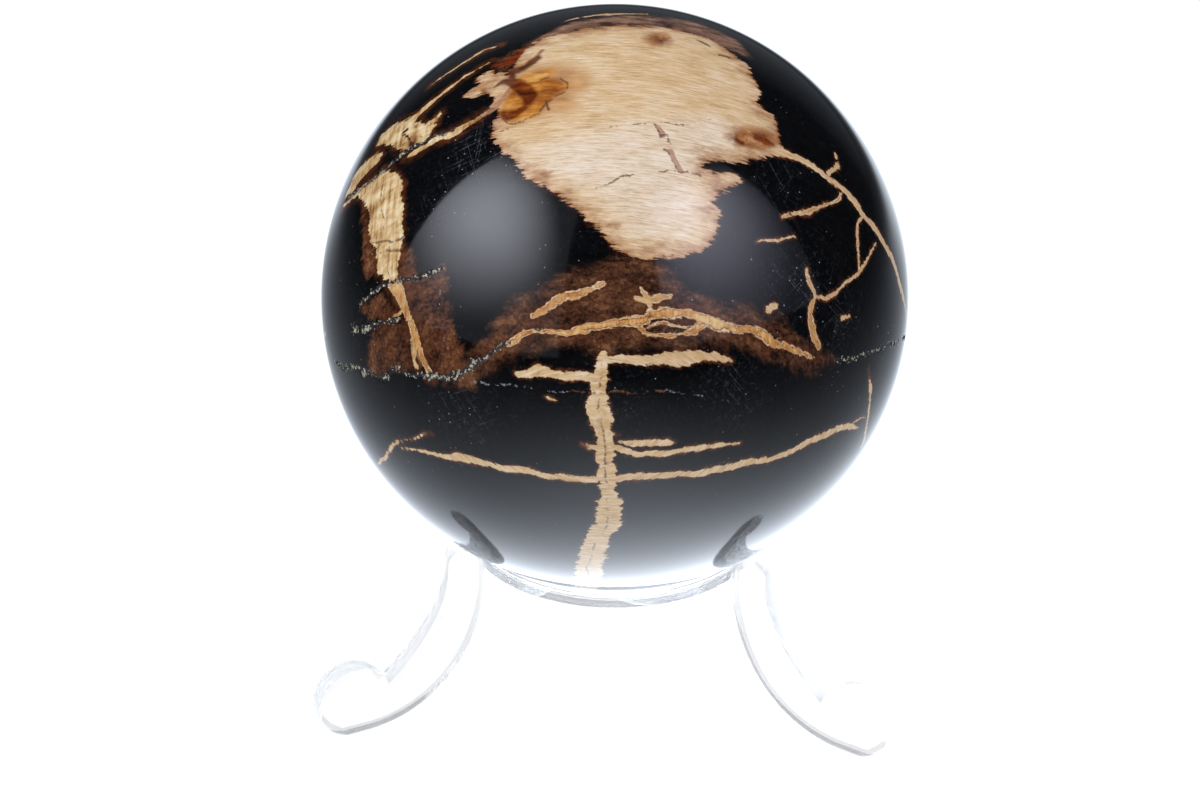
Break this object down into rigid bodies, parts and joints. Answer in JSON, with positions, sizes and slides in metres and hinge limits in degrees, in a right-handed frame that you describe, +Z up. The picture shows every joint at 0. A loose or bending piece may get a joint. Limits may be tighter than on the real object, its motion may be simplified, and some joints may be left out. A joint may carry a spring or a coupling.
{
  "type": "decorative stone sphere on a stand",
  "caption": "Polished petrified-wood ball resting in the ring of a clear moulded cradle with scroll-footed legs.",
  "frame": {"origin": "on the surface the feet stand on, at the middle of the whole object's footprint box; the ball's and the ring's common axis is vertical and passes 2.2 mm to the -Y side of it, because the back leg reaches past the ball", "axes": "+Z up, +Y towards the back leg, +X to the right seen from the front, which is the side between the two front legs"},
  "size_m": [0.0572, 0.0604, 0.0692],
  "materials": {
    "petrified_wood": "polished, near-black with cream and brown veins",
    "clear_acrylic": "clear, moulded, glossy"
  },
  "bodies": {
    "root": {"stone_ball": "petrified_wood", "clear_stand": "clear_acrylic"}
  },
  "joints": []
}
